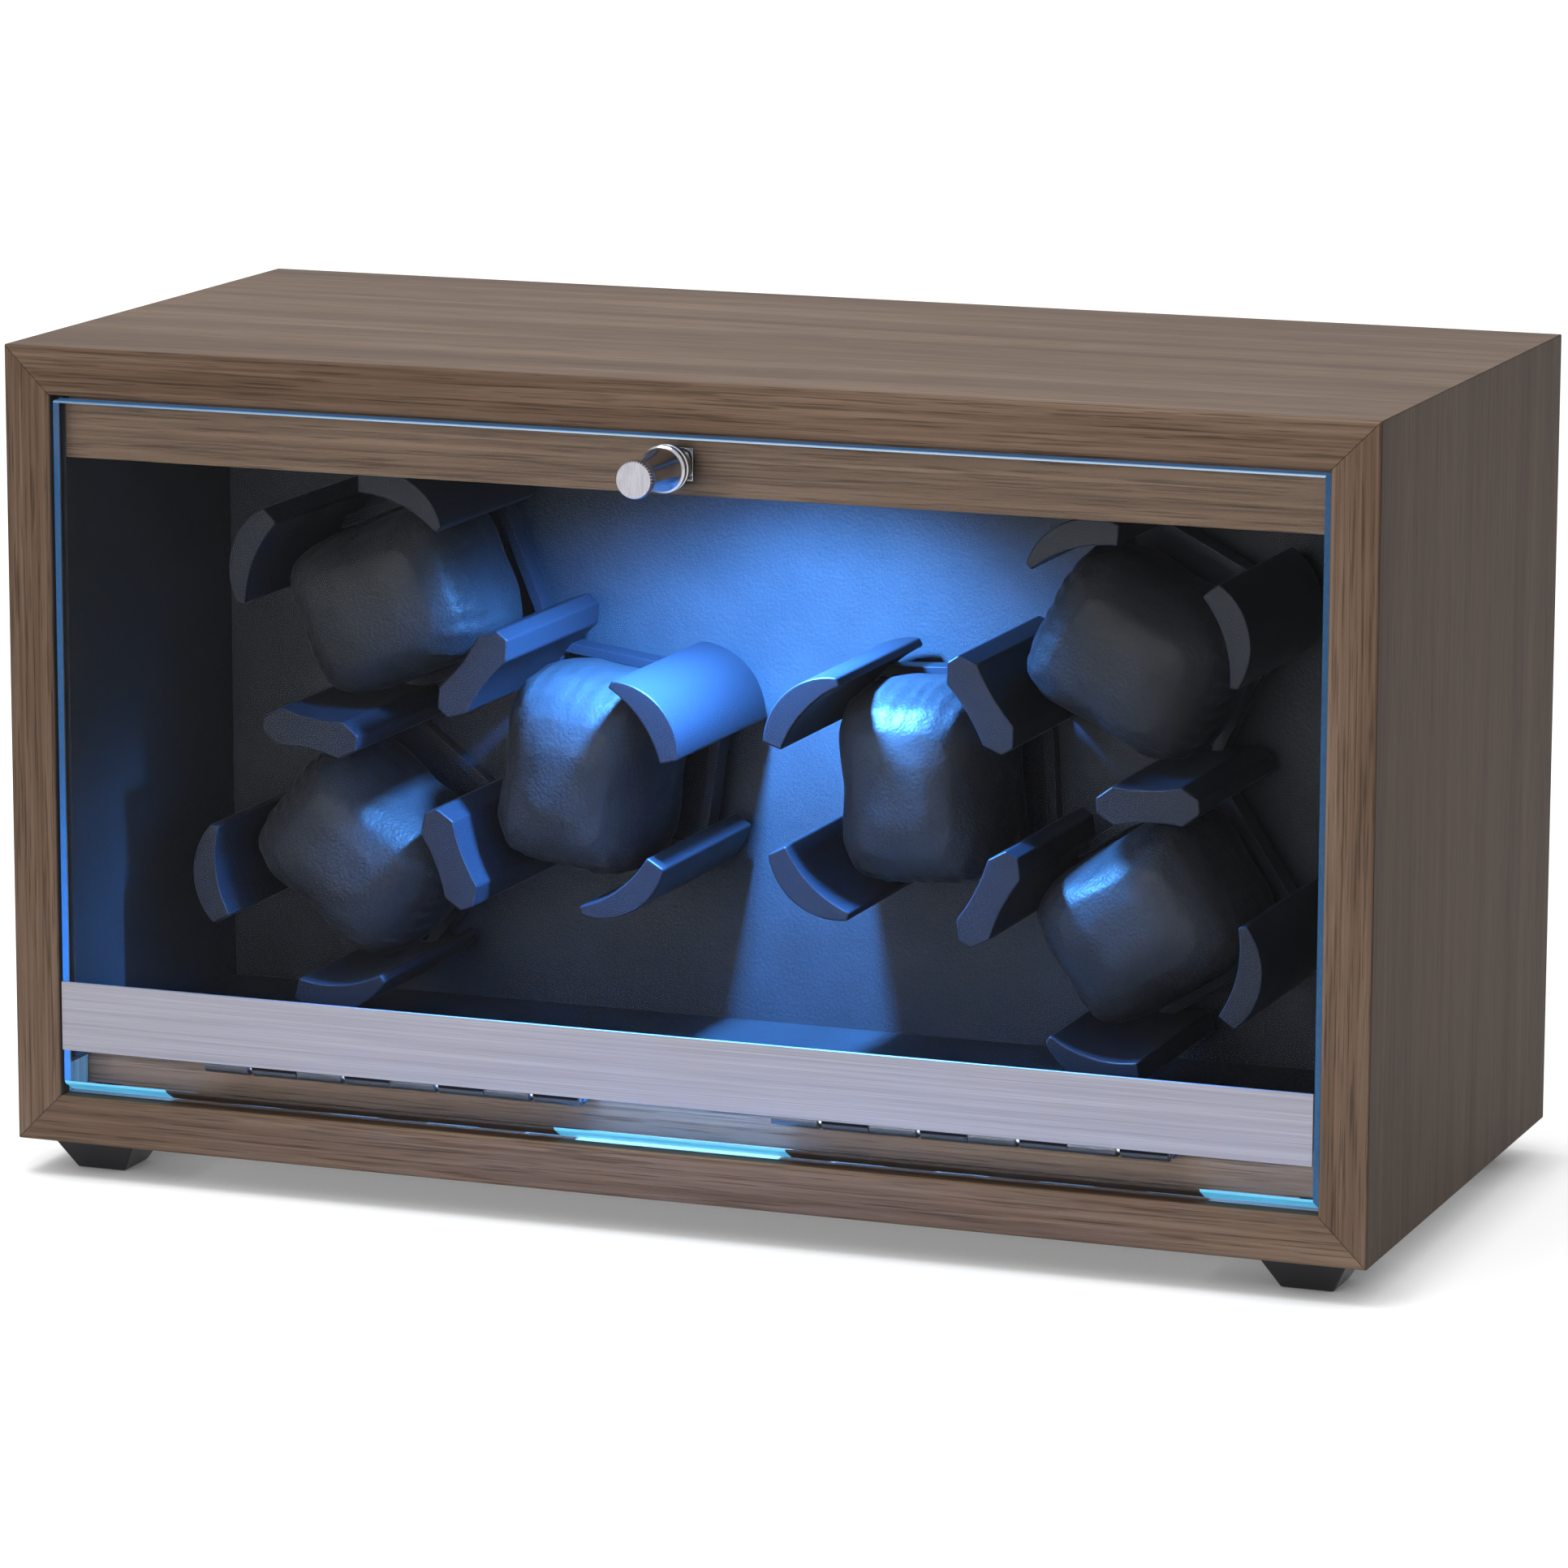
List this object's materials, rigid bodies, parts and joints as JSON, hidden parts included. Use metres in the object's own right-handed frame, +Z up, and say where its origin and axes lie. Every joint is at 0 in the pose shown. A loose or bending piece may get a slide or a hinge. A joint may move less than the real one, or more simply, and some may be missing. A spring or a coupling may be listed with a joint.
{
  "type": "watch winder box",
  "caption": "Walnut watch winder box with a drop-down glass door, prong turntables that carry leather watch pillows, gear motors behind them and a lamp at the ceiling.",
  "frame": {"origin": "middle of the box's footprint, on the plane its feet stand on", "axes": "+X to the right seen from the front, +Y from the glass door to the back, +Z up"},
  "size_m": [0.3498, 0.182, 0.2089],
  "materials": {
    "walnut": "horizontal-grain walnut laminate on MDF, satin lacquer",
    "board": "raw MDF",
    "back_board": "black faced hardboard, matt",
    "lining": "black leather, fine pebble grain",
    "pillow": "black leather, fine pebble grain, stuffed",
    "turntable": "black moulded plastic, satin",
    "glass": "clear toughened glass, polished edges",
    "strip": "aluminium, brushed along its length",
    "knob": "chromed, knurled rim",
    "hinge": "black painted steel, satin",
    "steel": "plain steel",
    "foot": "black moulded plastic, gloss",
    "lamp_lens": "frosted diffuser",
    "lamp_housing": "white moulded plastic",
    "gear": "natural acetal",
    "bush": "turned brass",
    "motor": "zinc plated",
    "circuit_board": "green lacquered laminate",
    "switch": "black moulded plastic",
    "magnet": "nickel plated magnet"
  },
  "bodies": {
    "case": {"top_panel": "walnut", "bottom_panel": "walnut", "left_panel": "walnut", "right_panel": "walnut", "back_panel": "back_board", "back_panel_cleats": "board", "back_panel_screws": "steel", "floor_board": "walnut", "top_fascia": "walnut", "catch_magnet": "magnet", "left_liner": "lining", "right_liner": "lining", "floor_liner": "lining", "ceiling_liner": "lining", "lamp_housing": "lamp_housing", "lamp_lens": "lamp_lens", "motor_board": "board", "board_liner": "lining", "shaft_bushes": "bush", "left_motor": "motor", "right_motor": "motor", "left_motor_bracket": "steel", "right_motor_bracket": "steel", "bracket_screws": "steel", "control_board": "circuit_board", "mode_switches": "switch", "rocker_frame": "switch", "power_jack": "switch", "front_left_foot": "foot", "front_right_foot": "foot", "back_left_foot": "foot", "back_right_foot": "foot", "foot_screws": "steel", "left_hinge_frame_leaf": "hinge", "right_hinge_frame_leaf": "hinge", "hinge_pins": "steel", "hinge_screws": "steel"},
    "door": {"door_glass": "glass", "door_strip": "strip", "door_knob": "knob", "knob_screw": "steel", "left_hinge_door_leaf": "hinge", "right_hinge_door_leaf": "hinge"},
    "left_turntable": {"left_turntable": "turntable", "left_shaft": "steel", "left_drive_gear": "gear"},
    "left_pinion": {"left_pinion": "gear"},
    "left_pillow_1": {"left_pillow_1": "pillow"},
    "left_pillow_2": {"left_pillow_2": "pillow"},
    "left_pillow_3": {"left_pillow_3": "pillow"},
    "right_turntable": {"right_turntable": "turntable", "right_shaft": "steel", "right_drive_gear": "gear"},
    "right_pinion": {"right_pinion": "gear"},
    "right_pillow_1": {"right_pillow_1": "pillow"},
    "right_pillow_2": {"right_pillow_2": "pillow"},
    "right_pillow_3": {"right_pillow_3": "pillow"},
    "left_mode_knob": {"left_mode_knob": "switch"},
    "right_mode_knob": {"right_mode_knob": "switch"},
    "lamp_rocker": {"lamp_rocker": "switch"}
  },
  "joints": [
    {"name": "door_hinge", "type": "hinge", "parent": "case", "child": "door", "pos_m": [0, -0.0619, 0.0312], "axis": [1, 0, 0], "range_deg": [0, 90]},
    {"name": "left_turntable_spin", "type": "hinge", "parent": "case", "child": "left_turntable", "pos_m": [-0.08196, 0.026, 0.10686], "axis": [0, 1, 0], "continuous": true},
    {"name": "left_pinion_spin", "type": "hinge", "parent": "case", "child": "left_pinion", "pos_m": [-0.08196, 0.044, 0.07686], "axis": [0, 1, 0], "continuous": true},
    {"name": "left_pillow_1_pull", "type": "slide", "parent": "left_turntable", "child": "left_pillow_1", "axis": [0, -1, 0], "range_m": [0, 0.028]},
    {"name": "left_pillow_2_pull", "type": "slide", "parent": "left_turntable", "child": "left_pillow_2", "axis": [0, -1, 0], "range_m": [0, 0.028]},
    {"name": "left_pillow_3_pull", "type": "slide", "parent": "left_turntable", "child": "left_pillow_3", "axis": [0, -1, 0], "range_m": [0, 0.028]},
    {"name": "right_turntable_spin", "type": "hinge", "parent": "case", "child": "right_turntable", "pos_m": [0.08196, 0.026, 0.10686], "axis": [0, 1, 0], "continuous": true},
    {"name": "right_pinion_spin", "type": "hinge", "parent": "case", "child": "right_pinion", "pos_m": [0.08196, 0.044, 0.07686], "axis": [0, 1, 0], "continuous": true},
    {"name": "right_pillow_1_pull", "type": "slide", "parent": "right_turntable", "child": "right_pillow_1", "axis": [0, -1, 0], "range_m": [0, 0.028]},
    {"name": "right_pillow_2_pull", "type": "slide", "parent": "right_turntable", "child": "right_pillow_2", "axis": [0, -1, 0], "range_m": [0, 0.028]},
    {"name": "right_pillow_3_pull", "type": "slide", "parent": "right_turntable", "child": "right_pillow_3", "axis": [0, -1, 0], "range_m": [0, 0.028]},
    {"name": "left_mode_knob_turn", "type": "hinge", "parent": "case", "child": "left_mode_knob", "pos_m": [-0.022, 0.085, 0.12486], "axis": [0, -1, 0], "range_deg": [0, 270]},
    {"name": "right_mode_knob_turn", "type": "hinge", "parent": "case", "child": "right_mode_knob", "pos_m": [0.022, 0.085, 0.12486], "axis": [0, -1, 0], "range_deg": [0, 270]},
    {"name": "lamp_rocker_tip", "type": "hinge", "parent": "case", "child": "lamp_rocker", "pos_m": [0, 0.083, 0.10286], "axis": [1, 0, 0], "range_deg": [-16, 0]}
  ],
  "couplings": [
    {"joint": "left_pinion_spin", "follows": "left_turntable_spin", "ratio": -3},
    {"joint": "right_pinion_spin", "follows": "right_turntable_spin", "ratio": -3}
  ]
}
